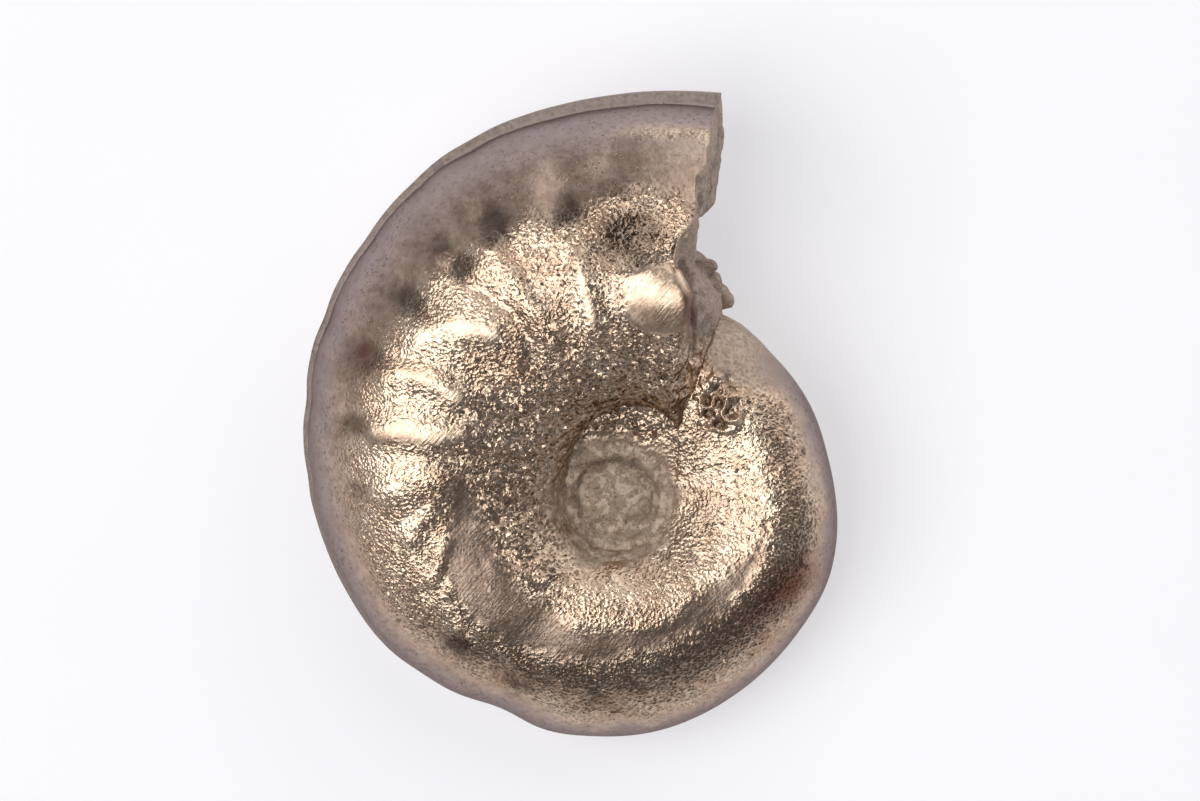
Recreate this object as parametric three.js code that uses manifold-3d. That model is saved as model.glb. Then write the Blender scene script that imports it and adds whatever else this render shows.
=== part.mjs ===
// A small pyrite ammonite, broken across its last whorl, lying on one flank.
// Millimetres, +Z up. The shell grew in one piece, so it is one solid.
import * as THREE from "three";
import { ParametricGeometry } from "three/addons/geometries/ParametricGeometry.js";
import { mergeVertices } from "three/addons/utils/BufferGeometryUtils.js";
import Module from "manifold-3d";

const wasm = await Module();
wasm.setup();

const DEG = Math.PI / 180;
const TURN = 360;

// The coil. "Back" is the angle in degrees from the broken end towards the older shell.
const OUTER_RADIUS = 16.9;
const SHRINK_PER_DEGREE = 0.0021354;
const BREAK_BEARING = 76.2;
const HALF_THICKNESS = 0.34;

// Swells and dents of the outline, in mm, each centred on an angle back from the break.
const OUTLINE_SWELLS = [
  { back: 44, rise: 0.4, spread: 20 },
  { back: 76, rise: 0.17, spread: 15 },
  { back: 88, rise: 0.18, spread: 42 },
  { back: 137, rise: 0.14, spread: 12 },
  { back: 164, rise: -0.28, spread: 10 },
  { back: 196, rise: 0.14, spread: 22 },
  { back: 258, rise: 0.12, spread: 12 },
  { back: 290, rise: -0.15, spread: 12 },
  { back: 336, rise: 0.15, spread: 10 },
];

// The proudest line of each flank as a share of the rim's radius, and how square the section
// is inside and outside that line, at angles back from the break.
const CREST = [[0, 0.565], [15, 0.55], [60, 0.555], [90, 0.575], [150, 0.55], [190, 0.5], [235, 0.585],
  [255, 0.64], [284, 0.7], [310, 0.7], [330, 0.65]];
const OUTER_ROUNDNESS = [[0, 2.15], [120, 2.1], [150, 1.95], [190, 1.8], [235, 1.85], [300, 2.1]];
const INNER_ROUNDNESS = [[0, 1.3], [8, 1.4], [30, 1.8], [110, 1.8], [190, 1.9], [235, 1.6], [284, 1.3]];

// The keel, a square-edged fin round the venter that dies away half a turn back.
// Its height is given at angles back from the break. Where it is gone, the flat band it leaves
// is a quarter of its width.
const KEEL_WIDTH = 1.1;
const KEELLESS_WIDTH = 0.25;
const KEEL_HEIGHTS = [[0, 0.46], [25, 0.42], [50, 0.28], [100, 0.22], [130, 0.16], [165, 0]];

// The umbilicus, a dish filled with crust. The last whorl's lip laps over it near the break.
const DISH_RADIUS = 2.2;
const DISH_FLOOR = 1.35;
const DISH_RISE = 1.3;
const DISH_MOUND = 0.25;
const MOUND_RADIUS = 1.1;
const LIP_REACH = 2.3;
const LIP_SPREAD = 48;
const LIP_ROUNDNESS = 0.5;
const DISH_OFFSET = { x: -0.25, y: -0.6 };

// Ribs: low sickle-shaped swellings on both flanks, drawn as lines in mm from the coil's axis.
const RIBS = [
  { line: [[-1.4, 10.2], [-1, 8.6], [-0.8, 7.1]], height: 0.13, spread: 0.45 },
  { line: [[-5.2, 10.7], [-4, 9.1], [-2.9, 7.2]], height: 0.11, spread: 0.6 },
  { line: [[-8.4, 6.9], [-7, 7.4], [-5.4, 7.2]], height: 0.2, spread: 0.85 },
  { line: [[-9.9, 5.1], [-8.8, 5.4], [-7.7, 5], [-6.8, 4.3]], height: 0.14, spread: 0.6 },
  { line: [[-10.4, 2.8], [-9.3, 2.95], [-8.3, 2.7], [-6.6, 2.8]], height: 0.18, spread: 0.6 },
  { line: [[-9.9, 0.2], [-9.1, 0.4], [-7.8, 0.6]], height: 0.2, spread: 1 },
  { line: [[-9, -1.9], [-8.2, -0.7], [-7.6, 0.2]], height: 0.12, spread: 0.45 },
];

// The rib at the break, a half-dome whose outer end drops into a basin.
const LAST_RIB = { x: 1.9, y: 8.85, height: 0.35, spread: 1.3, start: -2.2, full: 0.3 };
const BASIN = { x: 1.1, depth: 0.5, spread: 1.6, inner: 9.2, floor: 10.2, outer: 13.2 };

// Hollows between the ribs' outer ends: place, length along the rim, width and depth in mm.
// Each falls quickly from the inner side and fades slowly outwards.
const HOLLOWS = [
  { x: -0.2, y: 14.1, long: 1.1, wide: 0.6, depth: 0.18 },
  { x: -2.1, y: 12.9, long: 1, wide: 0.75, depth: 0.24 },
  { x: -5.4, y: 12.2, long: 0.9, wide: 0.8, depth: 0.29 },
  { x: -6.8, y: 10.4, long: 0.8, wide: 0.7, depth: 0.24 },
  { x: -9.2, y: 8.8, long: 0.8, wide: 0.75, depth: 0.26 },
  { x: -11.2, y: 6.3, long: 0.8, wide: 0.7, depth: 0.29 },
  { x: -11.9, y: 3.1, long: 0.7, wide: 0.7, depth: 0.26 },
  { x: -7.6, y: -7.2, long: 1.2, wide: 0.7, depth: 0.2 },
  { x: -4.9, y: -8.9, long: 1.3, wide: 0.7, depth: 0.2 },
];
const FAR_HOLLOWS = 0.7;
const OUTWARD_FADE = 3.2;

// The broken end: its edge line, the foot of its slope and the hollow between them.
const BREAK_EDGE = { offset: 2.287, swing: 6 };
const BREAK_FOOT = { offset: 1.638, swing: 18.8 };
const BREAK_MIN_RADIUS = 4.4;
const BREAK_BLEND = 50;
const FOOT_BLEND = 70;
const KEEL_LEDGE = 0.3;
const FACE_ROUGHNESS = 0.1;
const FULL_FACE = 5;

// How far the broken edge of each flank is cut back, and how deep the face behind it is
// hollowed, in mm, each against the distance from the coil's axis.
const NEAR_BITE = [
  [5.5, 0.3], [6.7, 0.3], [7.6, 0], [9.3, 0], [10.6, 0.75], [11.6, 0.65], [12.6, 0.15], [17, 0],
];
const FAR_BITE = [[6.5, 0.2], [8.5, 0.6], [9.6, 1.1], [11.6, 1.1], [12.1, 0.15], [17, 0]];
const FACE_HOLLOW = [
  [8.9, 0], [9.7, 0.3], [10.3, 0.9], [10.8, 1.25], [12.1, 1.25], [12.6, 0.45], [13.6, 0.25], [16.5, 0],
];
const BITE_BLEND = 14;

// Crusty knobs of mineral on the foot of the break, before the shell is laid down.
const KNOBS = [
  { x: 3.8, y: 9.35, z: 0.1, radius: 0.38 },
  { x: 3.45, y: 9, z: 0, radius: 0.42 },
  { x: 3.9, y: 8.6, z: -0.1, radius: 0.45 },
  { x: 4.2, y: 8.1, z: -0.4, radius: 0.45 },
  { x: 4.45, y: 7.8, z: -0.5, radius: 0.4 },
];

// How it lies: the coil's axis leans this far from upright, towards this bearing.
const LEAN = 7.8;
const LEAN_BEARING = -76;
const REST_TRIM = 0.08;

// Mesh columns round the coil and across the break, and rows from the dish to the keel.
const COIL_COLUMNS = 78;
const FACE_COLUMNS = 10;
const DISH_ROWS = 4;
const WALL_ROWS = 7;
const SHOULDER_ROWS = 9;
const KEEL_ROWS = 3;

const SIDE_ROWS = DISH_ROWS + WALL_ROWS + SHOULDER_ROWS + KEEL_ROWS;
const COLUMNS = COIL_COLUMNS + FACE_COLUMNS;

const bell = (distance, spread) => Math.exp(-((distance / spread) ** 2));
const clamp01 = (x) => Math.min(Math.max(x, 0), 1);
const power = (x, p) => Math.sign(x) * Math.abs(x) ** p;
const ramp = (x, low, high) => THREE.MathUtils.smoothstep(x, low, high);

// Reads a table of [place, value] pairs, with straight steps between them.
function along(table, x) {
  if (x <= table[0][0]) return table[0][1];
  for (let i = 1; i < table.length; i++) {
    const [x0, y0] = table[i - 1];
    const [x1, y1] = table[i];
    if (x <= x1) return y0 + (y1 - y0) * (x - x0) / (x1 - x0);
  }
  return table[table.length - 1][1];
}

function coilRadius(back) {
  let radius = OUTER_RADIUS * Math.exp(-SHRINK_PER_DEGREE * back);
  for (const swell of OUTLINE_SWELLS) {
    radius += swell.rise * bell(back - swell.back, swell.spread);
  }
  return radius;
}

function keelHeight(back) {
  return along(KEEL_HEIGHTS, back) * Math.exp(-SHRINK_PER_DEGREE * back);
}

// Radius at which the last whorl's inner lip meets the dish or the whorl beneath it.
function seamRadius(back) {
  const fromBreak = Math.min(back, TURN - back);
  return DISH_RADIUS + LIP_REACH * bell(fromBreak, LIP_SPREAD);
}

// Height of the dish, and of the older whorl's flank that shows inside the lip.
function dishHeight(radius) {
  const climb = clamp01(radius / (DISH_RADIUS + LIP_REACH));
  return DISH_FLOOR + DISH_MOUND * bell(radius, MOUND_RADIUS) + DISH_RISE * climb ** 1.3;
}

// One side of the whorl's section: radius and height for a row counted from the middle of the dish.
function sectionPoint(back, row) {
  const radius = coilRadius(back);
  const seam = seamRadius(back);
  if (row <= DISH_ROWS) {
    const r = seam * (row / DISH_ROWS);
    return { r, z: dishHeight(r) };
  }
  const crest = along(CREST, back) * radius;
  const top = HALF_THICKNESS * radius;
  if (row <= DISH_ROWS + WALL_ROWS) {
    const a = ((row - DISH_ROWS) / WALL_ROWS) * Math.PI / 2;
    const foot = dishHeight(seam);
    const bend = 2 / (along(INNER_ROUNDNESS, back) + LIP_ROUNDNESS * bell(back, LIP_SPREAD));
    const r = crest - (crest - seam) * power(Math.cos(a), bend);
    return { r, z: foot + (top - foot) * power(Math.sin(a), bend) };
  }
  return shoulderPoint(back, row - DISH_ROWS - WALL_ROWS, radius, crest, top);
}

// The outer shoulder falls from the crest to the keel's foot, then the keel rises square.
function shoulderPoint(back, step, radius, crest, top) {
  const keel = keelHeight(back);
  const narrowing = KEELLESS_WIDTH + (1 - KEELLESS_WIDTH) * ramp(keel, 0, 0.1);
  const halfWidth = KEEL_WIDTH / 2 * radius / OUTER_RADIUS * narrowing;
  const footAngle = Math.acos(halfWidth / top);
  if (step <= SHOULDER_ROWS) {
    const a = (step / SHOULDER_ROWS) * footAngle;
    const bend = 2 / along(OUTER_ROUNDNESS, back);
    const r = crest + (radius - crest) * power(Math.sin(a), bend);
    return { r, z: top * power(Math.cos(a), bend) };
  }
  const across = (step - SHOULDER_ROWS - 1) / (KEEL_ROWS - 1);
  const edge = halfWidth * 0.8;
  return { r: radius + keel, z: edge * (1 - across) };
}

// Distance in mm from a bent line drawn on the flank.
function fromLine(line, x, y) {
  let gap = Infinity;
  for (let i = 1; i < line.length; i++) {
    const [x0, y0] = line[i - 1];
    const dx = line[i][0] - x0;
    const dy = line[i][1] - y0;
    const t = clamp01(((x - x0) * dx + (y - y0) * dy) / (dx * dx + dy * dy));
    gap = Math.min(gap, Math.hypot(x - x0 - t * dx, y - y0 - t * dy));
  }
  return gap;
}

function hollowDepth(x, y) {
  let depth = 0;
  for (const hollow of HOLLOWS) {
    const reach = Math.hypot(hollow.x, hollow.y);
    const outward = ((x - hollow.x) * hollow.x + (y - hollow.y) * hollow.y) / reach;
    const sideways = ((y - hollow.y) * hollow.x - (x - hollow.x) * hollow.y) / reach;
    const wide = outward > 0 ? OUTWARD_FADE * hollow.wide : hollow.wide;
    depth += hollow.depth * bell(outward, wide) * bell(sideways, hollow.long);
  }
  return depth;
}

// The half-dome and the basin beyond it, on the near flank only.
function lastRib(x, y) {
  const dome = LAST_RIB.height * ramp(x - LAST_RIB.x, LAST_RIB.start, LAST_RIB.full);
  const basin = BASIN.depth * bell(x - BASIN.x, BASIN.spread) * ramp(y, BASIN.inner, BASIN.floor);
  return dome * bell(y - LAST_RIB.y, LAST_RIB.spread) - basin * (1 - ramp(y, BASIN.floor, BASIN.outer));
}

// How far the flank stands above or below the plain coil.
function relief(back, x, y, far) {
  const ribs = RIBS.map((rib) => rib.height * bell(fromLine(rib.line, x, y), rib.spread));
  let height = Math.max(...ribs) - hollowDepth(x, y) * (far ? FAR_HOLLOWS : 1);
  if (!far && back < BREAK_BLEND) height += lastRib(x, y);
  return height;
}

// Bearing of a point on a straight broken line that passes beside the coil's centre.
function lineBearing(line, r) {
  const reach = Math.max(r, BREAK_MIN_RADIUS);
  return Math.acos(line.offset / reach) / DEG - line.swing;
}

// Turns the flat section so that its ends follow the two broken lines.
function sectionBearing(back, r, row) {
  const atBreak = clamp01(1 - back / BREAK_BLEND) ** 2;
  const atFoot = clamp01((back - TURN + FOOT_BLEND) / FOOT_BLEND) ** 2;
  const turn = atBreak * (lineBearing(BREAK_EDGE, r) - BREAK_BEARING)
    + atFoot * (lineBearing(BREAK_FOOT, r) - BREAK_BEARING);
  return back + BREAK_BEARING + turn * clamp01(row / DISH_ROWS);
}

// How far the broken edge is cut back, as a turn in degrees.
function biteTurn(back, r, far) {
  const cut = along(far ? FAR_BITE : NEAR_BITE, r) * clamp01(1 - back / BITE_BLEND);
  return cut / Math.max(r, BREAK_MIN_RADIUS) / DEG;
}

// A point on the coil's skin. Rows past the keel mirror onto the far flank.
function skinPoint(back, row) {
  const far = row > SIDE_ROWS;
  const sideRow = far ? 2 * SIDE_ROWS - row : row;
  const onFlank = sideRow > DISH_ROWS && sideRow <= DISH_ROWS + WALL_ROWS + SHOULDER_ROWS - 1;
  const onLedge = row > DISH_ROWS + WALL_ROWS + SHOULDER_ROWS && row < 2 * SIDE_ROWS - DISH_ROWS;
  const trueBack = sectionBearing(back, coilRadius(back), SIDE_ROWS) - BREAK_BEARING;
  const point = sectionPoint(trueBack, sideRow);
  const bearing = sectionBearing(back, point.r, sideRow) + (onFlank ? biteTurn(back, point.r, far) : 0);
  const inner = 1 - ramp(sideRow, DISH_ROWS, DISH_ROWS + WALL_ROWS);
  const ledge = onLedge ? KEEL_LEDGE * clamp01(1 - back / 5) : 0;
  const x = point.r * Math.cos(bearing * DEG) + ledge + DISH_OFFSET.x * inner;
  const y = point.r * Math.sin(bearing * DEG) + DISH_OFFSET.y * inner;
  const z = point.z + (onFlank ? relief(bearing - BREAK_BEARING, x, y, far) : 0);
  return new THREE.Vector3(x, y, far ? -z : z);
}

// The rough face of the break, from the foot on the older whorl up to the broken edge.
function facePoint(share, row) {
  const foot = skinPoint(TURN, row);
  const edge = skinPoint(0, row);
  const point = foot.clone().lerp(edge, share);
  const width = foot.distanceTo(edge);
  const open = clamp01(width / FULL_FACE) ** 2 * Math.min(1, 2 * Math.sin(Math.PI * share));
  const rough = FACE_ROUGHNESS * Math.sin(5 * point.y + 2 * point.z) * Math.cos(3 * point.z);
  const middle = (1 - ramp(point.z, 2, 4.6)) * (1 - ramp(-point.z, 5, 5.8));
  point.x += (rough - along(FACE_HOLLOW, Math.hypot(point.x, point.y)) * middle) * open;
  return point;
}

function surface(u, v, target) {
  const column = Math.round(u * COLUMNS) % COLUMNS;
  const row = Math.round((1 - v) * 2 * SIDE_ROWS);
  if (column <= COIL_COLUMNS) {
    target.copy(skinPoint((column / COIL_COLUMNS) * TURN, row));
  } else {
    target.copy(facePoint((column - COIL_COLUMNS) / FACE_COLUMNS, row));
  }
}

// Leaves only welded positions and real triangles, so that a shape can become a solid.
function toSolid(geometry) {
  const plain = geometry.clone();
  plain.deleteAttribute("normal");
  plain.deleteAttribute("uv");
  const welded = mergeVertices(plain, 1e-4);
  const index = [];
  for (let i = 0; i < welded.index.count; i += 3) {
    const corners = [0, 1, 2].map((k) => welded.index.getX(i + k));
    if (new Set(corners).size === 3) index.push(...corners);
  }
  return new wasm.Manifold(new wasm.Mesh({
    numProp: 3,
    vertProperties: new Float32Array(welded.attributes.position.array),
    triVerts: new Uint32Array(index),
  }));
}

function toGeometry(solid) {
  const mesh = solid.getMesh();
  const geometry = new THREE.BufferGeometry();
  geometry.setAttribute("position", new THREE.BufferAttribute(mesh.vertProperties, 3));
  geometry.setIndex(new THREE.BufferAttribute(mesh.triVerts, 1));
  geometry.computeVertexNormals();
  return geometry;
}

// The shell with its knobs, still upright on its axis.
function uprightShell() {
  const skin = new ParametricGeometry(surface, COLUMNS, 2 * SIDE_ROWS);
  let shell = toSolid(skin);
  for (const knob of KNOBS) {
    const lump = new THREE.DodecahedronGeometry(knob.radius, 1);
    lump.translate(knob.x, knob.y, knob.z);
    shell = shell.add(toSolid(lump));
  }
  return toGeometry(shell);
}

// Leans the shell onto its far flank and trims the few spots that touch the ground flat.
function layDown(geometry) {
  const axis = new THREE.Vector3(-Math.sin(LEAN_BEARING * DEG), Math.cos(LEAN_BEARING * DEG), 0);
  geometry.applyMatrix4(new THREE.Matrix4().makeRotationAxis(axis, LEAN * DEG));
  geometry.computeBoundingBox();
  const box = geometry.boundingBox;
  const middle = box.getCenter(new THREE.Vector3());
  geometry.translate(-middle.x, -middle.y, -box.min.z - REST_TRIM);
  const ground = new THREE.BoxGeometry(80, 80, 10);
  ground.translate(0, 0, -5);
  return toGeometry(toSolid(geometry).subtract(toSolid(ground)));
}

const pyrite = new THREE.MeshStandardMaterial({ color: 0xa68a5c, roughness: 0.38, metalness: 1 });
const ammonite = new THREE.Mesh(layDown(uprightShell()), pyrite);
ammonite.name = "ammonite";

const part = new THREE.Group();
part.add(ammonite);

export default part;
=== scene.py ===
import math

import bmesh
import bpy
import numpy as np
from mathutils import Matrix, Vector


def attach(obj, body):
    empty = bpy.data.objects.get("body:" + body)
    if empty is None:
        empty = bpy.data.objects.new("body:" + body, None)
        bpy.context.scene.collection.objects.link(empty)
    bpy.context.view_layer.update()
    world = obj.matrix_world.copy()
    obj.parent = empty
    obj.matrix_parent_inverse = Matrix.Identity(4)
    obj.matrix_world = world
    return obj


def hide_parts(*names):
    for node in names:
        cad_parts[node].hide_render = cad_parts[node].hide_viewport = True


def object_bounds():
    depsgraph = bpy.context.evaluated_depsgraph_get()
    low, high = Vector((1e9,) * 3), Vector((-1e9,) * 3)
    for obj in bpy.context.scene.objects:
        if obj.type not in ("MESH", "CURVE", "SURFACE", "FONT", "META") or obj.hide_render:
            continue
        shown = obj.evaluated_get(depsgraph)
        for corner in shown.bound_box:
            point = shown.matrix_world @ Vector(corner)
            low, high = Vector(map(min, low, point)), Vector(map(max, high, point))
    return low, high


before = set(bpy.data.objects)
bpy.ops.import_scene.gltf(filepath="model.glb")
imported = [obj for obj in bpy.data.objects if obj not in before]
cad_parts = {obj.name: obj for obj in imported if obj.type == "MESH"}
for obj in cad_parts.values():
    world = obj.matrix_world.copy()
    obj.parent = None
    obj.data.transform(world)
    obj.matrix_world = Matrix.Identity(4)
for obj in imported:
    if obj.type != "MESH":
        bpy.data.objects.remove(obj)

cad_low, cad_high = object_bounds()
MM = 0.001


# ------------------------------------------------------------------ The coiled shell
# The whole fossil is one cast of a coiled shell in pyrite. It grew as a logarithmic spiral,
# so every size of the tube shrinks by the same share for each degree back from the broken end.

OUTER_RADIUS = 16.9
SHRINK = 0.0021354
BREAK_BEARING = 76.2
HALF_THICKNESS = 0.34
TURN = 360.0

# The proudest line of the flank, as a share of the rim's radius, and how square the section
# is inside and outside that line, at angles back from the break.
CREST = ([0, 15, 60, 90, 150, 190, 235, 255, 284, 310, 330],
         [0.565, 0.55, 0.555, 0.575, 0.55, 0.50, 0.585, 0.64, 0.70, 0.70, 0.65])
INNER_ROUNDNESS = ([0, 8, 30, 110, 190, 235, 284], [1.3, 1.4, 1.8, 1.8, 1.9, 1.6, 1.3])
OUTER_ROUNDNESS = ([0, 20, 80, 120, 150, 190, 235, 300], [2.15, 2.0, 2.0, 2.1, 1.95, 1.8, 1.85, 2.1])

# Swells and dents in the outline: degrees back from the break, rise in mm, spread in degrees.
OUTLINE_SWELLS = [(44, 0.4, 20), (76, 0.17, 15), (88, 0.18, 42), (137, 0.14, 12), (164, -0.28, 10),
                  (196, 0.14, 22), (258, 0.12, 12), (290, -0.15, 12), (336, 0.15, 10)]


def bell(distance, spread):
    return np.exp(-(distance / spread) ** 2)


def ramp(x, low, high):
    s = np.clip((x - low) / (high - low), 0, 1)
    return s * s * (3 - 2 * s)


def coil_radius(back):
    radius = OUTER_RADIUS * np.exp(-SHRINK * back)
    for where, rise, spread in OUTLINE_SWELLS:
        radius = radius + rise * bell(back - where, spread)
    return radius


# The keel is a square-edged fin round the outside, and dies away half a turn back. Its height
# in mm is given at angles back from the break.
KEEL_WIDTH = 1.1
KEEL_HEIGHTS = ([0, 25, 50, 100, 130, 165], [0.46, 0.42, 0.28, 0.22, 0.16, 0])


def keel_height(back):
    return np.interp(back, *KEEL_HEIGHTS) * np.exp(-SHRINK * back)


# The umbilicus is a dish of crust. Near the break, the last whorl's inner lip laps over it.
DISH_RADIUS = 2.2
DISH_FLOOR = 1.35
DISH_RISE = 1.3
DISH_MOUND = 0.25
LIP_REACH = 2.3
LIP_SPREAD = 48


def seam_radius(back):
    return DISH_RADIUS + LIP_REACH * bell(np.minimum(back, TURN - back), LIP_SPREAD)


def dish_height(r):
    climb = np.clip(r / (DISH_RADIUS + LIP_REACH), 0, 1)
    return DISH_FLOOR + DISH_MOUND * bell(r, 1.1) + DISH_RISE * climb ** 1.3


# Rows run across the tube from the middle of the dish (0) to the seam, the crest, the keel's
# foot, the keel's edge and its middle. The numbers are the rows at which each stretch ends.
SEAM, TOP, FOOT, FIN, MIDDLE = 4.0, 11.0, 20.0, 21.0, 23.0


def inner_wall_section(back, row, seam, crest, top):
    a = np.clip((row - SEAM) / (TOP - SEAM), 0, 1) * math.pi / 2
    bend = 2 / (np.interp(back, *INNER_ROUNDNESS) + 0.5 * bell(back, LIP_SPREAD))
    foot = dish_height(seam)
    r = crest - (crest - seam) * np.abs(np.cos(a)) ** bend
    z = foot + (top - foot) * np.abs(np.sin(a)) ** bend
    return r, z


def shoulder_section(back, row, radius, crest, top, half_width):
    a = np.clip((row - TOP) / (FOOT - TOP), 0, 1) * np.arccos(half_width / top)
    bend = 2 / np.interp(back, *OUTER_ROUNDNESS)
    return crest + (radius - crest) * np.sin(a) ** bend, top * np.cos(a) ** bend


def section(back, row):
    """Distance from the axis and height above the coil's middle plane, both in mm."""
    radius = coil_radius(back)
    seam = seam_radius(back)
    crest = np.interp(back, *CREST) * radius
    top = HALF_THICKNESS * radius
    dish_r = seam * np.clip(row / SEAM, 0, 1)
    wall_r, wall_z = inner_wall_section(back, row, seam, crest, top)
    keel_left = ramp(keel_height(back), 0, 0.1)
    half_width = KEEL_WIDTH / 2 * radius / OUTER_RADIUS * (0.4 + 0.6 * keel_left)
    out_r, out_z = shoulder_section(back, row, radius, crest, top, half_width)
    climb = np.clip(row - FOOT, 0, 1)
    across = np.clip((row - FIN) / (MIDDLE - FIN), 0, 1)
    edge_z = (0.2 + 0.6 * keel_left) * half_width
    fin_r = out_r + (radius + keel_height(back) - out_r) * climb
    fin_z = (out_z + (edge_z - out_z) * climb) * (1 - across)
    stretches = [row <= SEAM, row <= TOP, row <= FOOT]
    r = np.select(stretches, [dish_r, wall_r, out_r], fin_r)
    z = np.select(stretches, [dish_height(dish_r), wall_z, out_z], fin_z)
    return r, z


# The last whorl ends at a break. Its edge and the foot of its slope are two straight lines
# that pass beside the coil's centre, each an offset in mm and a swing in degrees.
BREAK_EDGE = (2.287, 6.0)
BREAK_FOOT = (1.638, 18.8)
BREAK_BLEND = 50
FOOT_BLEND = 70


def line_bearing(line, r):
    offset, swing = line
    return np.degrees(np.arccos(offset / np.maximum(r, 4.4))) - swing


def bearing_of(back, r, row):
    at_break = np.clip(1 - back / BREAK_BLEND, 0, 1) ** 2
    at_foot = np.clip((back - TURN + FOOT_BLEND) / FOOT_BLEND, 0, 1) ** 2
    turn = (at_break * (line_bearing(BREAK_EDGE, r) - BREAK_BEARING)
            + at_foot * (line_bearing(BREAK_FOOT, r) - BREAK_BEARING))
    return back + BREAK_BEARING + turn * np.clip(row / SEAM, 0, 1)


# Pieces are gone from the broken edge: how far it is cut back, in mm, at each distance from
# the axis. The far flank has lost more than the near one.
NEAR_BITE = ([5.5, 6.7, 7.6, 9.3, 10.6, 11.6, 12.6, 14.4, 14.7, 17.0],
             [0.3, 0.3, 0.0, 0.0, 0.75, 0.65, 0.15, 0.1, -0.15, -0.15])
FAR_BITE = ([6.5, 8.5, 9.6, 11.6, 12.1, 17.0], [0.2, 0.6, 1.1, 1.1, 0.15, 0.0])


def bite(r, far):
    cut = np.where(far, np.interp(r, *FAR_BITE), np.interp(r, *NEAR_BITE))
    return np.degrees(cut / np.maximum(r, 4.0))


# The dish lies a little off the coil's axis, and the keel ends in a small ledge past the break.
DISH_X, DISH_Y = -0.25, -0.6
KEEL_LEDGE = 0.3
BITE_BLEND = 14


def skin(back, row):
    """Places on the coil's skin in mm. Rows past the keel's middle mirror onto the far flank."""
    far = row > MIDDLE
    side_row = np.where(far, 2 * MIDDLE - row, row)
    true_back = bearing_of(back, coil_radius(back), MIDDLE) - BREAK_BEARING
    r, z = section(true_back, side_row)
    bearing = bearing_of(back, r, side_row)
    flank = ramp(side_row, SEAM, SEAM + 1) * (1 - ramp(side_row, FOOT, FIN))
    bearing = bearing + bite(r, far) * flank * np.clip(1 - back / BITE_BLEND, 0, 1)
    on_keel = ramp(row, FOOT, FIN) * (1 - ramp(row, 2 * MIDDLE - SEAM - 1, 2 * MIDDLE - SEAM))
    ledge = KEEL_LEDGE * np.clip(1 - back / 5, 0, 1) * on_keel
    inner = 1 - ramp(side_row, SEAM, TOP)
    x = r * np.cos(np.radians(bearing)) + ledge + DISH_X * inner
    y = r * np.sin(np.radians(bearing)) + DISH_Y * inner
    return np.stack([x, y, np.where(far, -z, z)], -1), bearing - BREAK_BEARING


# The face of the break runs from the foot, on the older whorl, up to the broken edge.
# It is hollowed out above the foot, up to a ledge.
FACE_HOLLOW = ([8.9, 9.7, 10.3, 10.8, 12.1, 12.6, 13.6, 16.5],
               [0, 0.3, 0.9, 1.25, 1.25, 0.45, 0.25, 0])
FULL_FACE = 5
COIL_COLUMNS = 640
FACE_COLUMNS = 84
ROW_STEPS = [(0, SEAM, 34), (SEAM, TOP, 64), (TOP, FOOT, 90), (FOOT, FIN, 5), (FIN, MIDDLE, 6)]

side_rows = np.concatenate([np.linspace(a, b, n, endpoint=False) for a, b, n in ROW_STEPS] + [[MIDDLE]])
rows = np.concatenate([side_rows, 2 * MIDDLE - side_rows[-2::-1]])
share = np.linspace(0, 1, COIL_COLUMNS + 1)
backs = -np.log(1 - share * (1 - math.exp(-SHRINK * TURN))) / SHRINK
coil, coil_back = skin(backs[:, None], rows[None, :])
foot_line, edge_line = coil[-1], coil[0]
along = np.linspace(0, 1, FACE_COLUMNS + 1)[1:-1, None]
face = foot_line + (edge_line - foot_line) * along[..., None]
width = np.linalg.norm(edge_line - foot_line, axis=-1)
openness = np.clip(width / FULL_FACE, 0, 1) ** 2 * np.minimum(1, 2 * np.sin(np.pi * along))
middle = (1 - ramp(face[..., 2], 2.0, 4.6)) * (1 - ramp(-face[..., 2], 5.0, 5.8))
face[..., 0] -= np.interp(np.hypot(face[..., 0], face[..., 1]), *FACE_HOLLOW) * middle * openness

points = np.concatenate([coil, face]).reshape(-1, 3)
columns = len(coil) + len(face)
face_back = np.broadcast_to(np.where(along > 0.5, 0.0, TURN), face.shape[:2])
back = np.concatenate([coil_back, face_back]).ravel()
on_face = np.concatenate([np.zeros(coil.shape[:2]), openness ** 0.3]).ravel()
row_of = np.broadcast_to(rows, (columns, len(rows))).ravel()

column_index = np.arange(columns)[:, None] * len(rows)
next_column = np.roll(np.arange(columns), -1)[:, None] * len(rows)
row_index = np.arange(len(rows) - 1)[None, :]
corners = np.stack([column_index + row_index, column_index + row_index + 1,
                    next_column + row_index + 1, next_column + row_index], -1).reshape(-1, 4)

# Spots closer than this, in mm, become one.
WELD = 0.02


def welded_mesh(name, spots, quads, marks):
    mesh = bpy.data.meshes.new(name)
    mesh.vertices.add(len(spots))
    mesh.vertices.foreach_set("co", spots.astype(np.float32).ravel())
    mesh.loops.add(quads.size)
    mesh.loops.foreach_set("vertex_index", quads.astype(np.int32).ravel())
    mesh.polygons.add(len(quads))
    mesh.polygons.foreach_set("loop_start", np.arange(0, quads.size, 4, dtype=np.int32))
    mesh.update(calc_edges=True)
    for key, values in marks.items():
        layer = mesh.attributes.new(key, "FLOAT", "POINT")
        layer.data.foreach_set("value", values.astype(np.float32))
    shell = bmesh.new()
    shell.from_mesh(mesh)
    bmesh.ops.remove_doubles(shell, verts=shell.verts, dist=WELD)
    bmesh.ops.triangulate(shell, faces=shell.faces)
    shell.normal_update()
    shell.to_mesh(mesh)
    shell.free()
    return mesh


shell_mesh = welded_mesh("ammonite_shell", points, corners,
                         {"back": back, "row": row_of, "face": on_face})


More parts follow.
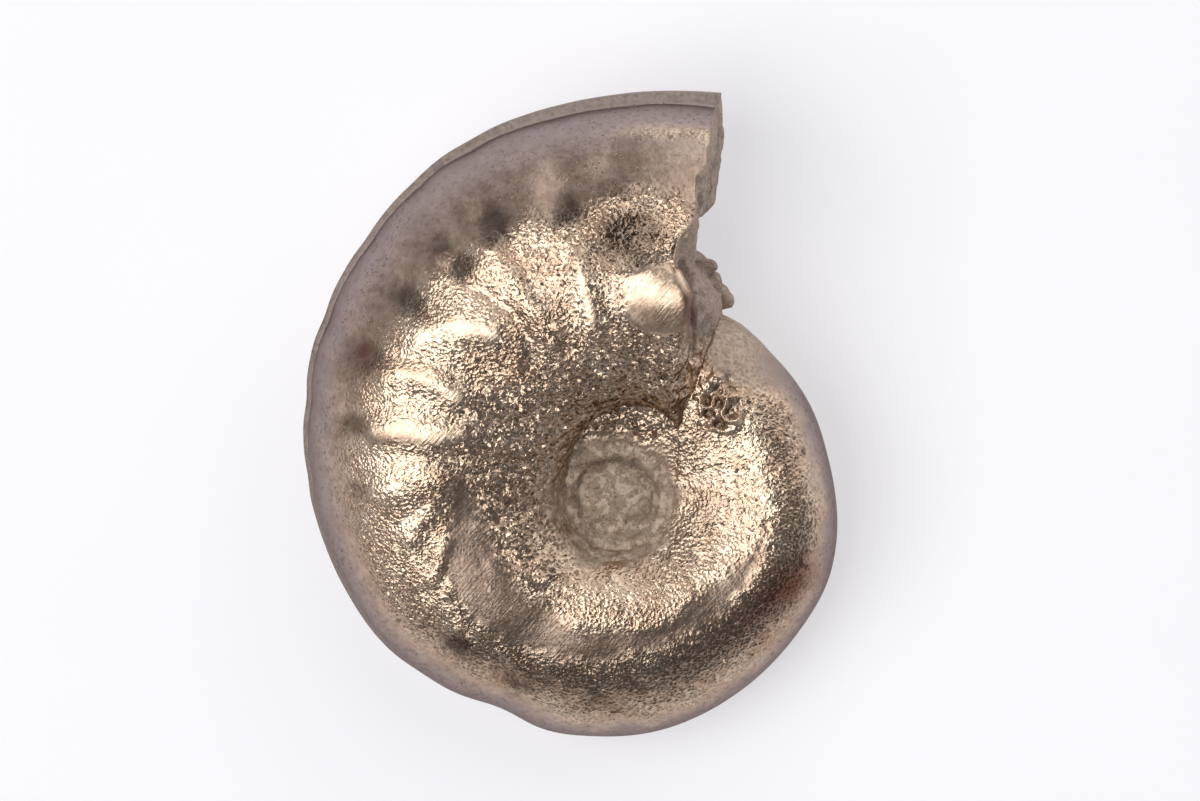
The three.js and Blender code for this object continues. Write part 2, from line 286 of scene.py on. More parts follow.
def read(mesh, key):
    source = mesh.attributes[key].data
    values = np.zeros(len(source), np.float32)
    source.foreach_get("value", values)
    return values.astype(float)


def places(mesh):
    flat = np.zeros(len(mesh.vertices) * 3, np.float32)
    mesh.vertices.foreach_get("co", flat)
    return flat.reshape(-1, 3).astype(float)


def normals(mesh):
    flat = np.zeros(len(mesh.vertices) * 3, np.float32)
    mesh.vertex_normals.foreach_get("vector", flat)
    return flat.reshape(-1, 3).astype(float)


# ------------------------------------------------------------------ Growth, wear and crystals
# Pyrite copied the shell's relief, then grew a skin of tiny crystals over most of it.
# Handling has since polished the proudest spots.
def mist(where, size, seed=0):
    """Smooth lumps of about the given size, from -1 to 1."""
    q = where / size + seed * 7.31
    cell = np.floor(q).astype(np.int64)
    f = q - cell
    f = f * f * (3 - 2 * f)
    total = np.zeros(len(where))
    for corner in range(8):
        step = np.array([corner & 1, corner >> 1 & 1, corner >> 2 & 1])
        c = cell + step
        h = c[:, 0] * 73856093 ^ c[:, 1] * 19349663 ^ c[:, 2] * 83492791 ^ (seed * 2654435 + 97)
        h = (h ^ h >> 13) * 1274126177
        value = ((h ^ h >> 16) & 0xFFFF) / 32767.5 - 1
        total += value * np.prod(np.where(step, f, 1 - f), axis=1)
    return total


def worms(where, size, seed=0):
    """Wandering ridges with sharp valleys between them, from -1 to 1."""
    return 1 - 3.2 * np.abs(mist(where, size, seed))


p = places(shell_mesh)
n = normals(shell_mesh)
back = np.clip(read(shell_mesh, "back"), 0, TURN)
row = read(shell_mesh, "row")
broken = read(shell_mesh, "face")
r = np.hypot(p[:, 0], p[:, 1])
radius = coil_radius(back)
place = r / radius
near = row < MIDDLE
bearing = np.degrees(np.arctan2(p[:, 1], p[:, 0]))
skin_part = 1 - broken


def spot(x, y, long, wide, turn=0.0, side=1):
    """A soft oval on one flank, at x, y in mm from the coil's axis, turned in degrees."""
    c, s = math.cos(math.radians(turn)), math.sin(math.radians(turn))
    u = (p[:, 0] - x) * c + (p[:, 1] - y) * s
    v = (p[:, 1] - y) * c - (p[:, 0] - x) * s
    on_side = near if side > 0 else ~near
    return np.exp(-(u / long) ** 2 - (v / wide) ** 2) * on_side


def from_line(line):
    """Distance in mm from a bent line drawn on the flank."""
    gap = np.full(len(p), 9.0)
    for (x0, y0), (x1, y1) in zip(line, line[1:]):
        dx, dy = x1 - x0, y1 - y0
        t = np.clip(((p[:, 0] - x0) * dx + (p[:, 1] - y0) * dy) / (dx * dx + dy * dy), 0, 1)
        gap = np.minimum(gap, np.hypot(p[:, 0] - x0 - t * dx, p[:, 1] - y0 - t * dy))
    return gap


blotch = 0.6 * mist(p, 0.7, 5) + 0.4 * mist(p, 0.25, 6)

# Ribs: low sickle-shaped swellings that run outwards on both flanks. Each has its line
# in mm from the coil's axis, its height, half its width, and how far it is worn smooth.
RIBS = [([(-1.4, 10.2), (-1.0, 8.6), (-0.8, 7.1)], 0.13, 0.45, 0.7),
        ([(-5.2, 10.7), (-4.0, 9.1), (-2.9, 7.2)], 0.11, 0.6, 0.0),
        ([(-8.4, 6.9), (-7.0, 7.4), (-5.4, 7.2)], 0.20, 0.85, 0.65),
        ([(-9.9, 5.1), (-8.8, 5.4), (-7.7, 5.0), (-6.8, 4.3)], 0.14, 0.6, 0.7),
        ([(-10.4, 2.7), (-9.3, 2.8), (-8.3, 2.6), (-6.6, 2.7)], 0.18, 0.7, 0.85),
        ([(-9.9, 0.2), (-9.1, 0.4), (-7.8, 0.6)], 0.20, 1.0, 0.45),
        ([(-9.0, -1.9), (-8.2, -0.7), (-7.6, 0.2)], 0.12, 0.45, 0.0),
        ([(-8.1, -3.7), (-7.4, -2.2)], 0.08, 0.35, 0.0),
        ([(-6.0, -1.4), (-4.5, -1.8)], 0.06, 0.28, 0.0),
        ([(-5.4, -3.1), (-4.0, -3.5)], 0.06, 0.3, 0.0)]
ribs = np.zeros(len(p))
worn = np.zeros(len(p))
for line, rise, half_width, smooth in RIBS:
    shape = bell(from_line(line), half_width) * (row > SEAM) * (row < 2 * MIDDLE - SEAM)
    ribs = np.maximum(ribs, rise * shape)
    worn = np.maximum(worn, smooth * shape)

# Two narrow, smooth channels run between the upper ribs.
LONG_CHANNEL = [(-7.3, 10.3), (-6.3, 9.4), (-4.9, 8.4), (-4.0, 7.7), (-3.5, 6.6), (-3.4, 5.8)]
SHORT_CHANNEL = [(-4.9, 11.5), (-3.9, 10.0), (-3.3, 8.9)]
channels = 0.12 * bell(from_line(LONG_CHANNEL), 0.36) + 0.07 * bell(from_line(SHORT_CHANNEL), 0.32)
channels *= near
worn = np.maximum(worn, 5.0 * channels)

# The rib at the break is the largest, a smooth half-dome with a jagged upper edge. u runs
# along it, out to the break, and v runs across it.
LAST_RIB_X, LAST_RIB_Y = 1.9, 8.6
u = (p[:, 0] - LAST_RIB_X) * 0.985 - (p[:, 1] - LAST_RIB_Y) * 0.17
v = (p[:, 1] - LAST_RIB_Y) * 0.985 + (p[:, 0] - LAST_RIB_X) * 0.17
last_rib = ramp(u, -2.2, 0.3) * bell(v - 0.25, 1.3)
jagged = 0.22 * mist(p, 0.9, 17) + 0.12 * mist(p, 0.35, 18)
shell_left = ramp(1 - np.abs(u / 1.5) ** 3 - np.abs((v - 0.05 + jagged) / 1.5) ** 3 - 0.3 * blotch,
                  -0.08, 0.16 + 0.5 * ramp(-u, 0, 1.2))
shell_left *= near * (back < 40)

# Hollows between the ribs' outer ends, where the flank turns over to the smooth shoulder.
# Each has its place in mm from the axis, its length along the rim, its width and depth.
# They fall quickly from the inner side and fade slowly outwards. Painted shade darkens their pockets.
HOLLOWS = [(-0.2, 14.1, 1.1, 0.6, 0.18), (-2.1, 12.9, 1.0, 0.75, 0.24),
           (-5.4, 12.2, 0.9, 0.8, 0.29), (-7.8, 11.2, 0.7, 0.6, 0.18),
           (-6.8, 10.4, 0.8, 0.7, 0.24), (-9.2, 8.8, 0.8, 0.75, 0.26),
           (-11.2, 6.3, 0.8, 0.7, 0.29), (-11.9, 3.1, 0.7, 0.7, 0.26),
           (-11.9, 0.2, 0.6, 0.6, 0.11), (-7.6, -7.2, 1.2, 0.7, 0.2),
           (-4.9, -8.9, 1.3, 0.7, 0.2), (-1.1, -9.6, 1.5, 0.7, 0.13)]
OUTWARD_FADE = 3.2
FAR_HOLLOWS = 0.7
on_flanks = (row > SEAM) & (row < 2 * MIDDLE - SEAM)
hollows = np.zeros(len(p))
pockets = np.zeros(len(p))
for x, y, long, wide, depth in HOLLOWS:
    reach = math.hypot(x, y)
    outward = (p[:, 0] * x + p[:, 1] * y) / reach - reach
    sideways = (p[:, 1] * x - p[:, 0] * y) / reach
    shape = bell(sideways, long) * bell(outward, np.where(outward > 0, OUTWARD_FADE * wide, wide))
    hollows += depth * shape * np.where(near, 1.0, FAR_HOLLOWS) * on_flanks
    pocket = bell(sideways, 0.95 * long) * bell(outward + 0.55, 1.25 * wide)
    pockets = np.maximum(pockets, depth * near * pocket)

# Beyond the last rib the flank drops into a basin, darkened further below with painted shade.
basin = bell(p[:, 0] - 1.1, 1.6) * ramp(p[:, 1], 9.4, 10.9) * (1 - ramp(p[:, 1], 10.4, 13.2))
basin *= near * (back < 60) * (1 - shell_left)

# A furrow along the proudest part of the flank was rubbed smooth and brushed, widest below
# the left ribs. Its middle is a share of the rim's radius, and its half-width is in mm.
track = np.interp(back, [100, 114, 129, 145, 160, 175, 197, 221, 242, 257, 270],
                  [0.48, 0.49, 0.53, 0.565, 0.59, 0.60, 0.575, 0.61, 0.62, 0.665, 0.69])
track_width = np.interp(back, [98, 114, 129, 145, 160, 175, 197, 221, 242, 257, 272],
                        [0, 0.9, 1.3, 1.25, 1.0, 0.7, 0.4, 0.4, 0.55, 0.35, 0])
furrow = ramp(track_width - np.abs(place - track) * radius + 0.35 * blotch, -0.4, 0.4)
furrow *= (track_width > 0) * near

# The smooth outer shoulder begins at this share of the rim's radius, at angles back from the
# break. A rough streak crosses it beside the break.
SHOULDER_BACKS = [0, 14, 22, 38, 60, 75, 90, 104, 125, 147, 163, 178, 200, 240, 300, 330]
SHOULDER_STARTS = [0.81, 0.81, 0.77, 0.79, 0.81, 0.83, 0.86, 0.88,
                   0.88, 0.89, 0.89, 0.91, 0.93, 0.94, 0.93, 0.94]
SHOULDER_SOFTNESS = 0.05
shoulder_line = np.interp(back, SHOULDER_BACKS, SHOULDER_STARTS)
shoulder_line = shoulder_line + 0.022 * mist(p, 1.2, 3) + 0.016 * mist(p, 0.45, 4)
rough_streak = bell(place - 0.938 + 0.004 * mist(p, 0.5, 7), 0.014) * (1 - ramp(back, 6, 18)) * near
satin = ramp(place - shoulder_line, -SHOULDER_SOFTNESS, SHOULDER_SOFTNESS) * skin_part
satin *= 1 - 0.85 * rough_streak
satin = np.maximum(satin, 0.7 * furrow) * (1 - ramp(back, 315, 335))

side_row = np.minimum(row, 2 * MIDDLE - row)
keel_band = ramp(side_row, FOOT - 0.1, FOOT + 0.3) * skin_part * (1 - ramp(back, 150, 172))

# How far each spot is polished: the worn ribs, the last rib and the furrow.
polish = ramp(worn + 0.4 * blotch, 0.35, 0.9) * near
polish = np.maximum(polish, np.maximum(shell_left, 0.6 * furrow))
polish *= skin_part * (1 - 0.5 * satin)

# The umbilicus is filled with rings of brown crust, and thin scales lap over its upper left.
dish_r = np.hypot(p[:, 0] - DISH_X, p[:, 1] - DISH_Y)
swell = dish_r + 0.12 * mist(p, 0.8, 9)
crust = ramp(2.55 + 0.5 * mist(p, 0.7, 8) - dish_r, -0.6, 0.6)
rings = 0.10 * (1 - ramp(swell, 0.9, 1.3)) - 0.16 * bell(swell - 1.6, 0.22)
rings += 0.10 * bell(swell - 2.05, 0.2) - 0.08 * bell(swell - 2.45, 0.16)
scales = spot(0.2, 3.0, 2.6, 0.95, 5) + spot(-2.1, 0.9, 0.8, 1.6, 0)
scale_steps = np.abs(((swell + 0.25 * mist(p, 1.1, 10)) / 0.42) % 1 - 0.3)

# The crystals are coarsest on the wall round the umbilicus, and finest over the ribs.
grain = skin_part * (1 - satin) * (1 - polish) * (1 - 0.7 * crust)
inner_wall = (1 - ramp(place, 0.38, 0.55)) * ramp(dish_r, 2.2, 3.0)
over_ribs = ramp(place, 0.54, 0.64) * ramp(back, 28, 46) * (1 - ramp(back, 110, 130))
lower_flank = ramp(back, 150, 190) * (1 - ramp(place, 0.65, 0.85))
coarseness = 1.3 * inner_wall * (1 - ramp(back, 120, 170)) - 0.4 * lower_flank - 0.5 * over_ribs
swirl = np.stack([r * 0.6, np.radians(bearing) * 5, p[:, 2] * 0.6], -1)
grain_height = 0.006 * worms(p, 0.5, 11) + 0.008 * mist(p, 0.22, 12)
grain_height = grain_height * (1 - 0.4 * inner_wall) + inner_wall * 0.009 * worms(swirl, 0.5, 13)

# How far the surface stands out from the plain coil, in mm.
height = (0.07 * mist(p, 2.6, 1) + 0.035 * mist(p, 1.2, 2)) * (1 - 0.6 * satin)
height += ribs - channels + 0.32 * last_rib - hollows - 0.50 * basin
height += 0.05 * shell_left + grain * grain_height
height += 0.05 * (1 - satin) * ramp(place, 0.6, 0.75) - 0.05 * furrow
height += 0.10 * spot(-5.2, -6.95, 0.3, 0.06, -35)
height += crust * (rings + 0.05 * worms(p, 0.5, 14) + 0.03 * mist(p, 0.22, 15)) * near
height += np.clip(scales, 0, 1) * 0.16 * (0.35 - scale_steps)
height *= skin_part

# The broken face: a rough, layered fracture.
LAYER = 0.5
across_layers = p[:, 0] * 0.9 + p[:, 2] * 0.45 + 0.3 * mist(p, 1.2, 20)
layers = np.sin(across_layers * 2 * math.pi / LAYER)
fracture = 0.20 * mist(p, 1.4, 21) + 0.11 * worms(p, 0.7, 22) + 0.05 * mist(p, 0.3, 23)
height += broken * (fracture + 0.03 * layers)

shell_points = p + n * height[:, None]

# Knobs of mineral stand on the foot of the break: x, y, z and radius in mm.
KNOBS = [(3.8, 9.35, 0.1, 0.38), (3.45, 9.0, 0.0, 0.42), (3.9, 8.6, -0.1, 0.45),
         (4.2, 8.1, -0.4, 0.45), (4.45, 7.8, -0.5, 0.4)]
for x, y, z, size in KNOBS:
    beside = np.hypot(p[:, 1] - y, p[:, 2] - z) / size
    reach = x + size * np.sqrt(np.clip(1 - beside ** 2, 0, 1)) - shell_points[:, 0]
    shell_points[:, 0] += np.maximum(reach, 0) * (beside < 1) * (p[:, 0] > 1.5) * (broken > 0.02)

# A cracked pit in the older whorl, just below the break: crooked ridges with gaps between,
# darkened below with painted shade.
rubble = ramp(spot(4.4, 3.8, 0.95, 1.35, 20) + 0.2 * blotch, 0.3, 0.5) * skin_part
crooked = worms(p, 0.5, 27)
chunks = rubble * (0.05 + 0.13 * crooked + 0.10 * mist(p, 0.9, 28))
gap = rubble * ramp(-crooked, -0.1, 0.5)
small_hole = spot(2.05, 5.1, 0.16, 0.13)
shell_points[:, 2] += chunks - 0.25 * small_hole

# Painted shade darkens the pit's gaps, the groove round the umbilicus (most on its upper side),
# the small hole beside the lip, the basin, the furrow, the hollows' pockets, a band along the
# lower flank and two slopes above the umbilicus.
groove = bell(dish_r + 0.15 * mist(p, 0.6, 16) - 1.62, 0.24) * near
groove_shade = 0.35 + 0.25 * np.sin(np.radians(bearing))
basin_shade = np.clip(1.4 * spot(0.9, 11.5, 1.5, 1.1), 0, 1) * (1 - shell_left)
BAND_BACKS = [160, 194, 224, 254]
band_middle = np.interp(back, BAND_BACKS, [0.74, 0.70, 0.76, 0.84])
band_spread = np.interp(back, BAND_BACKS, [0.07, 0.13, 0.10, 0.07])
lower_band = bell(place - band_middle, band_spread) * ramp(back, 135, 160) * (1 - ramp(back, 262, 285))
right_slope = bell(dish_r - 3.9, 1.0) * ramp(p[:, 0], 1.0, 3.0)
painted_shade = 0.65 * gap + groove_shade * groove + spot(2.05, 5.1, 0.2, 0.16) + 0.95 * basin_shade
painted_shade += 0.4 * furrow + (0.6 * lower_band + 0.3 * right_slope) * near
painted_shade += 0.85 * ramp(pockets + 0.08 * blotch, 0.05, 0.22) + 0.35 * spot(-0.6, 4.6, 2.6, 1.3, 20)
painted_shade = np.clip(painted_shade, 0, 1)

# Red-brown tarnish, deepened with painted shade, lies at the left, on the lower right of the coil,
# and along the last rib's broken edge; on the last rib's lower half it is painted shade.
tarnish_and_shade = 0.65 * spot(-11.2, 6.1, 1.2, 0.8, 60) + 1.1 * spot(7.0, -4.35, 1.6, 0.9, 38)
tarnish_and_shade += 0.5 * spot(5.0, -5.9, 1.1, 0.7, 30) + 0.9 * spot(3.15, 8.2, 0.16, 1.3)
tarnish_and_shade = np.clip(tarnish_and_shade + 0.4 * spot(2.1, 7.7, 1.1, 0.55), 0, 1)

# By the break the older whorl is dull and granular, where the lost whorl once covered it.
dull_patch = ramp(spot(5.2, 6.2, 2.9, 1.5, -45) + 0.15 * blotch, 0.25, 0.6) * skin_part

shell_mesh.vertices.foreach_set("co", shell_points.astype(np.float32).ravel())
# Besides the finishes, these marks say where shade and the rim's reflection are painted.
MARKS = {
    "polish": polish,
    "satin": satin,
    "rim": ramp(place, 0.87, 0.98) * skin_part,
    "crust": crust,
    "keel": keel_band,
    "coarse": coarseness * near,
    "broken": np.maximum(broken * ramp(r, 6.2, 8.2), 0.7 * dull_patch),
    "painted_shade": painted_shade,
    "tarnish_and_shade": tarnish_and_shade,
}
for key, values in MARKS.items():
    layer = shell_mesh.attributes.new(key, "FLOAT", "POINT")
    layer.data.foreach_set("value", values.astype(np.float32))
shell_mesh.update()

# The finest skin that one piece may have: flat stretches are thinned, rough ones stay dense.
MOST_TRIANGLES = 196000
shell = bpy.data.objects.new("ammonite_shell", shell_mesh)
bpy.context.scene.collection.objects.link(shell)
thin = shell.modifiers.new("thin", "DECIMATE")
thin.ratio = min(1.0, MOST_TRIANGLES / len(shell_mesh.polygons))
depsgraph = bpy.context.evaluated_depsgraph_get()
thinned = bpy.data.meshes.new_from_object(shell.evaluated_get(depsgraph))
shell.modifiers.clear()
shell.data = thinned

# It lies on its far flank, so the coil's axis leans, and the spots that touch are worn flat.
LEAN = 7.8
LEAN_BEARING = -76.0
WORN = 0.08
axis = Vector((-math.sin(math.radians(LEAN_BEARING)), math.cos(math.radians(LEAN_BEARING)), 0))
leaned = places(thinned) @ np.array(Matrix.Rotation(math.radians(LEAN), 3, axis)).T
low, high = leaned.min(0), leaned.max(0)
centre = (cad_low + cad_high) / 2
leaned = (leaned - [(low[0] + high[0]) / 2, (low[1] + high[1]) / 2, low[2] + WORN]) * MM
leaned += [centre.x, centre.y, cad_low.z]
leaned[:, 2] = np.maximum(leaned[:, 2], cad_low.z)
thinned.vertices.foreach_set("co", leaned.astype(np.float32).ravel())
thinned.polygons.foreach_set("use_smooth", np.ones(len(thinned.polygons), bool))
thinned.update()


# Pyrite: pale brass gold metal. Crystals break up its shine, polished spots are brushed,
# the shoulder is satin, and the crust, keel and broken face are dull.
pyrite = bpy.data.materials.new("pyrite")
pyrite.use_nodes = True
nodes = pyrite.node_tree.nodes
links = pyrite.node_tree.links
nodes.clear()


def add(kind, **settings):
    node = nodes.new("ShaderNode" + kind)
    for key, value in settings.items():
        setattr(node, key, value)
    return node


def wire(value, socket):
    if hasattr(value, "links"):
        links.new(value, socket)
    else:
        socket.default_value = value


def maths(operation, a, b=0.0, c=0.0):
    node = add("Math", operation=operation)
    for value, socket in zip((a, b, c), node.inputs):
        wire(value, socket)
    return node.outputs[0]


def times(first, *others):
    for other in others:
        first = maths("MULTIPLY", first, other)
    return first


def rest_of(share):
    return maths("SUBTRACT", 1.0, share)


def off_middle(value):
    return maths("ABSOLUTE", maths("SUBTRACT", value, 0.5))


def between(value, low, high, start=0.0, end=1.0):
    node = add("MapRange", interpolation_type="SMOOTHSTEP")
    for item, socket in zip((value, low, high, start, end), node.inputs):
        wire(item, socket)
    return node.outputs[0]


def mix(amount, a, b):
    node = add("Mix", data_type="RGBA")
    wire(amount, node.inputs[0])
    wire(a, node.inputs[6])
    wire(b, node.inputs[7])
    return node.outputs[2]


def mark(key):
    return add("Attribute", attribute_name=key).outputs["Fac"]


coords = add("TexCoord").outputs["Object"]


def noise(size_mm, detail=2.0, rough=0.5, stretch=(1, 1, 1), turn=0.0):
    mapping = add("Mapping", vector_type="TEXTURE")
    links.new(coords, mapping.inputs["Vector"])
    mapping.inputs["Rotation"].default_value = (0, 0, math.radians(turn))
    mapping.inputs["Scale"].default_value = stretch
    node = add("TexNoise")
    links.new(mapping.outputs[0], node.inputs["Vector"])
    node.inputs["Scale"].default_value = 1 / (size_mm * MM)
    node.inputs["Detail"].default_value = detail
    node.inputs["Roughness"].default_value = rough
    return node.outputs["Fac"]


def crystals(size_mm, output="Distance"):
    node = add("TexVoronoi")
    links.new(coords, node.inputs["Vector"])
    node.inputs["Scale"].default_value = 1 / (size_mm * MM)
    return node.outputs[output]


# The marks left on the mesh say where each finish lies, and where shade is painted.
polished, satiny, rim_reflection = mark("polish"), mark("satin"), mark("rim")
crusted, keeled, broke = mark("crust"), mark("keel"), mark("broken")
painted_shade_mark, tarnish_and_shade_mark = mark("painted_shade"), mark("tarnish_and_shade")
coarse = maths("ADD", mark("coarse"), 1.0)
dull = maths("MAXIMUM", maths("MAXIMUM", crusted, keeled), times(broke, 0.85))
grainy = times(rest_of(polished), rest_of(satiny))

# Fine relief: crystal grain, scattered pits in the satin, brush lines, and cracked crust.
grain_bump = maths("ADD", times(off_middle(noise(0.24, 2, 0.6)), 1.3), times(crystals(0.16), 0.6))
pit_floor = between(crystals(0.26), 0.10, 0.24)
pit_here = between(noise(1.6, 3), 0.46, 0.58)
pit_bump = times(maths("SUBTRACT", pit_floor, 1.0), pit_here, 0.5)
satin_bump = maths("ADD", times(noise(0.16, 3, 0.6), 0.35), pit_bump)
brush_bump = times(noise(0.9, 3, 0.7, stretch=(1.2, 0.1, 1), turn=48), 0.7)
cracks = off_middle(noise(0.5, 3, 0.6))
dull_bump = maths("MULTIPLY_ADD", times(cracks, crusted), 3.0, times(noise(0.28, 5, 0.7), 1.5))

relief = times(grain_bump, grainy)
relief = maths("MULTIPLY_ADD", satin_bump, satiny, relief)
relief = maths("MULTIPLY_ADD", brush_bump, polished, relief)
relief = maths("MULTIPLY_ADD", dull_bump, dull, relief)
bump = add("Bump")
bump.inputs["Strength"].default_value = 0.8
bump.inputs["Distance"].default_value = 0.06 * MM
links.new(relief, bump.inputs["Height"])


# Each tiny crystal faces its own way. A few face far from the rest, and glint.
def facets(size_mm, swing):
    aside = add("VectorMath", operation="SUBTRACT")
    links.new(crystals(size_mm, output="Color"), aside.inputs[0])
    aside.inputs[1].default_value = (0.5, 0.5, 0.5)
    reach = add("VectorMath", operation="LENGTH")
    links.new(aside.outputs["Vector"], reach.inputs[0])
    amount = times(maths("POWER", reach.outputs["Value"], 3.0), swing, coarse, grainy)
    swung = add("VectorMath", operation="SCALE")
    links.new(aside.outputs["Vector"], swung.inputs[0])
    links.new(amount, swung.inputs["Scale"])
    return swung.outputs["Vector"]


facing = bump.outputs["Normal"]
for size_mm, swing in ((0.14, 1.6), (0.32, 0.8)):
    tilted = add("VectorMath", operation="ADD")
    links.new(facing, tilted.inputs[0])
    links.new(facets(size_mm, swing), tilted.inputs[1])
    facing = tilted.outputs["Vector"]
unit = add("VectorMath", operation="NORMALIZE")
links.new(facing, unit.inputs[0])

# Gold, with painted shade in the valleys between crystals, and browner where it is flecked.
fleck = noise(0.22, 3, 0.6)
gold = mix(between(noise(1.5, 4, 0.6), 0.35, 0.68), (0.66, 0.475, 0.345, 1), (0.81, 0.64, 0.49, 1))
valley_shade = between(grain_bump, 0.22, 0.6, 1.0, 0.0)
valley_shade_depth = times(maths("MINIMUM", coarse, 1.0), 0.5)
gold = mix(times(valley_shade, grainy, valley_shade_depth), gold, (0.15, 0.092, 0.055, 1))
gold = mix(times(between(fleck, 0.5, 0.62), 0.25), gold, (0.26, 0.17, 0.105, 1))

# The satin shoulder: rose brown with dark pits and flecks, and lilac grey at the rim, a painted
# reflection of the pale floor.
streaks = noise(0.5, 3, 0.6, stretch=(1, 1, 2))
rose = mix(between(streaks, 0.4, 0.62), (0.40, 0.29, 0.23, 1), (0.52, 0.40, 0.325, 1))
rose = mix(times(rim_reflection, 0.8), rose, (0.315, 0.275, 0.29, 1))
colour = mix(times(satiny, 0.9), gold, rose)
colour = mix(times(rest_of(pit_floor), pit_here, satiny, 0.8), colour, (0.13, 0.10, 0.08, 1))
colour = mix(times(between(fleck, 0.5, 0.68), satiny, 0.4), colour, (0.20, 0.15, 0.12, 1))

# Grey-brown keel and fracture, golden-brown crust with dark cracks, then painted shade, and
# red-brown tarnish that is partly painted shade.
brown = mix(between(fleck, 0.3, 0.7), (0.26, 0.205, 0.175, 1), (0.42, 0.35, 0.305, 1))
colour = mix(times(dull, 0.85), colour, brown)
earth = mix(between(noise(0.5, 4, 0.65), 0.38, 0.62), (0.34, 0.25, 0.165, 1), (0.74, 0.60, 0.46, 1))
earth = mix(between(cracks, 0.0, 0.022, 0.85, 0.0), earth, (0.12, 0.08, 0.055, 1))
colour = mix(times(crusted, 0.65), colour, earth)
colour = mix(times(painted_shade_mark, 0.85), colour, (0.05, 0.035, 0.028, 1))
colour = mix(times(tarnish_and_shade_mark, 0.8), colour, (0.15, 0.058, 0.042, 1))

shine = maths("MULTIPLY_ADD", polished, 0.02, 0.27)
shine = maths("MULTIPLY_ADD", satiny, 0.12, shine)
shine = maths("MULTIPLY_ADD", maths("SUBTRACT", noise(0.5, 3), 0.5), 0.12, shine)
shine = maths("MULTIPLY_ADD", dull, 0.38, shine)
metal = rest_of(times(dull, 0.65))

surface = add("BsdfPrincipled")
links.new(colour, surface.inputs["Base Color"])
links.new(shine, surface.inputs["Roughness"])
links.new(metal, surface.inputs["Metallic"])
surface.inputs["Specular Tint"].default_value = (0.40, 0.37, 0.37, 1)
links.new(unit.outputs["Vector"], surface.inputs["Normal"])
output = add("OutputMaterial")
links.new(surface.outputs["BSDF"], output.inputs["Surface"])

thinned.materials.clear()
thinned.materials.append(pyrite)
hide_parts("ammonite")
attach(shell, "root")


# ------------------------------------------------------------------ Floor
# A sheet of white card under the fossil, large enough to fill the view and its reflections.
# It lies a hair below the fossil, so that the two surfaces don't share a plane.
FLOOR = 0.9
FLOOR_GAP = 0.02 * MM
floor_mesh = bpy.data.meshes.new("floor")
floor_corners = [(-FLOOR, -FLOOR, 0), (FLOOR, -FLOOR, 0), (FLOOR, FLOOR, 0), (-FLOOR, FLOOR, 0)]
floor_mesh.from_pydata(floor_corners, [], [(0, 1, 2, 3)])
floor = bpy.data.objects.new("floor", floor_mesh)
floor.location.z = cad_low.z - FLOOR_GAP
bpy.context.scene.collection.objects.link(floor)
card = bpy.data.materials.new("white_card")
card.use_nodes = True
card_shader = card.node_tree.nodes["Principled BSDF"]
card_shader.inputs["Roughness"].default_value = 0.7
card_shader.inputs["Emission Color"].default_value = (0.92, 0.92, 0.97, 1)
card_shader.inputs["Emission Strength"].default_value = 0.50
card_noise = card.node_tree.nodes.new("ShaderNodeTexNoise")
card_noise.inputs["Scale"].default_value = 220
card_ramp = card.node_tree.nodes.new("ShaderNodeValToRGB")
card_ramp.color_ramp.elements[0].color = (0.555, 0.555, 0.57, 1)
card_ramp.color_ramp.elements[1].color = (0.575, 0.575, 0.59, 1)
card.node_tree.links.new(card_noise.outputs["Fac"], card_ramp.inputs["Fac"])
card.node_tree.links.new(card_ramp.outputs["Color"], card_shader.inputs["Base Color"])
floor_mesh.materials.append(card)


# ------------------------------------------------------------------ Lights
# Two soft boxes light it, one high on the left and a larger one beyond the top right.
# The pale room round them fills in the shadows.
AIM = Vector((0, 0, 0.005))


def soft_box(name, where, size, power, roll=0.0):
    lamp = bpy.data.lights.new(name, "AREA")
    lamp.shape = "RECTANGLE"
    lamp.size, lamp.size_y = size
    lamp.energy = power
    lamp.color = (1.0, 0.985, 0.97)
    box = bpy.data.objects.new(name, lamp)
    box.location = where
    aim = (AIM - Vector(where)).to_track_quat("-Z", "Y").to_matrix()
    box.rotation_euler = (aim @ Matrix.Rotation(math.radians(roll), 3, "Z")).to_euler()
    bpy.context.scene.collection.objects.link(box)


soft_box("key_box", (-0.20, -0.06, 0.46), (0.41, 0.42), 1.75, roll=-22)
soft_box("side_box", (0.34, 0.6, 0.45), (1.1, 1.1), 3.9)

world = bpy.data.worlds.new("room")
bpy.context.scene.world = world
world.use_nodes = True
room = world.node_tree.nodes
sky = room["Background"]
direction = room.new("ShaderNodeTexCoord")
split = room.new("ShaderNodeSeparateXYZ")
fade = room.new("ShaderNodeValToRGB")

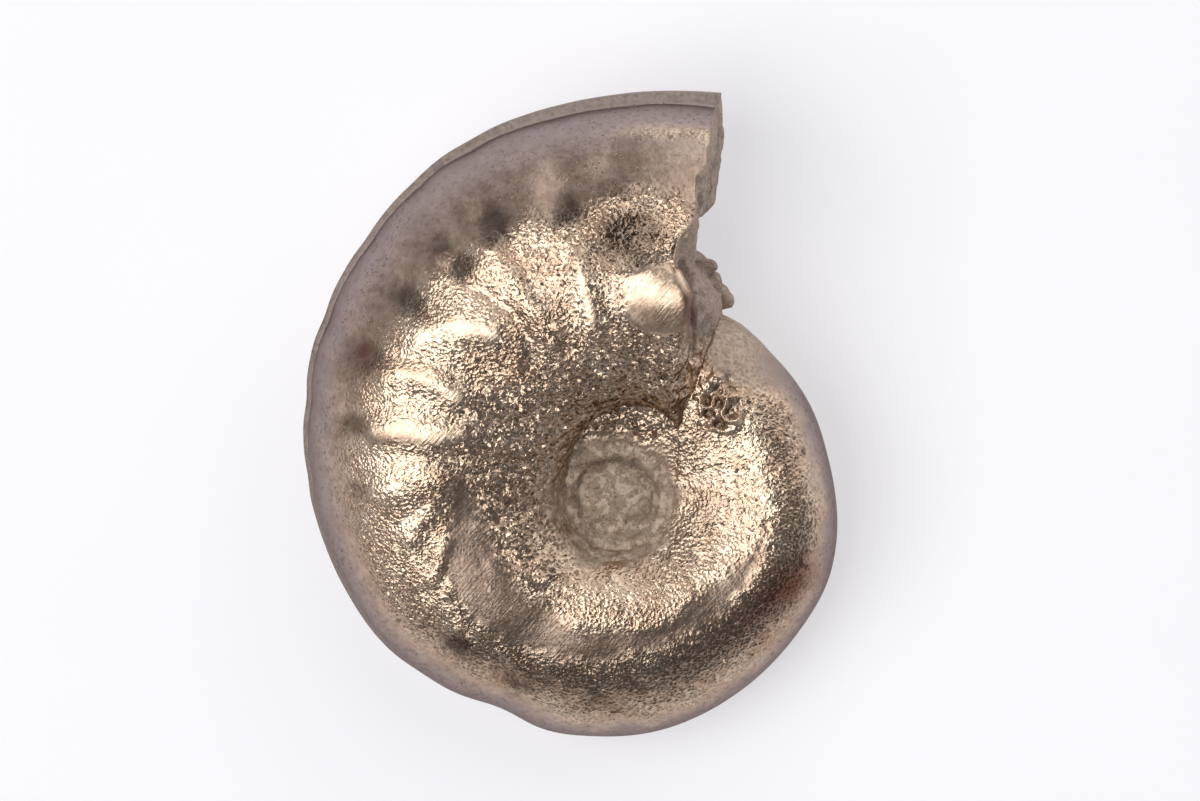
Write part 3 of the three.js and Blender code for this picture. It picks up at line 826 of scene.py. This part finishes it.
# Its walls are pale near the floor and dark overhead, and a little blue: heights and shades.
WALL_SHADES = [(0.18, 0.43), (0.4, 0.165), (0.75, 0.11)]
LOWEST_SHADE = 0.76
BLUER = 1.05
stops = fade.color_ramp.elements
stops[0].color = (LOWEST_SHADE, LOWEST_SHADE, LOWEST_SHADE * BLUER, 1)
stops[1].color = (0.08, 0.08, 0.085, 1)
for stop, shade in WALL_SHADES:
    stops.new(stop).color = (shade, shade, shade * BLUER, 1)

# The side beyond the fossil's top right is a little brighter than the side nearest.
tilt = room.new("ShaderNodeVectorMath")
tilt.operation = "DOT_PRODUCT"
tilt.inputs[1].default_value = (0.12, 0.20, 0.0)
lift = room.new("ShaderNodeMath")
lift.inputs[1].default_value = 1.0
world.node_tree.links.new(direction.outputs["Generated"], split.inputs[0])
world.node_tree.links.new(direction.outputs["Generated"], tilt.inputs[0])
world.node_tree.links.new(tilt.outputs["Value"], lift.inputs[0])
world.node_tree.links.new(split.outputs["Z"], fade.inputs["Fac"])
world.node_tree.links.new(fade.outputs["Color"], sky.inputs["Color"])
world.node_tree.links.new(lift.outputs[0], sky.inputs["Strength"])


# ------------------------------------------------------------------ Camera
# A close-up lens looks down on the fossil, a few degrees from its right. It stands well
# back, so that near and far parts of the fossil show at almost the same scale.
CAMERA_FAR = 0.3
FRAME_WIDTH = 52.17 * MM
TILT = 6.5
eye = bpy.data.cameras.new("camera")
eye.sensor_width = 36
eye.lens = 36 * CAMERA_FAR / FRAME_WIDTH
camera = bpy.data.objects.new("camera", eye)
look_at = Vector((centre.x + 1.43 * MM, centre.y + 0.65 * MM, 0.006))
away = Vector((math.sin(math.radians(TILT)), 0, math.cos(math.radians(TILT))))
camera.location = look_at + away * CAMERA_FAR
right = Vector((math.cos(math.radians(TILT)), 0, -math.sin(math.radians(TILT))))
up = away.cross(right)
camera.rotation_euler = Matrix((right, up, away)).transposed().to_euler()
bpy.context.scene.collection.objects.link(camera)
bpy.context.scene.camera = camera
bpy.context.scene.view_settings.view_transform = "Standard"
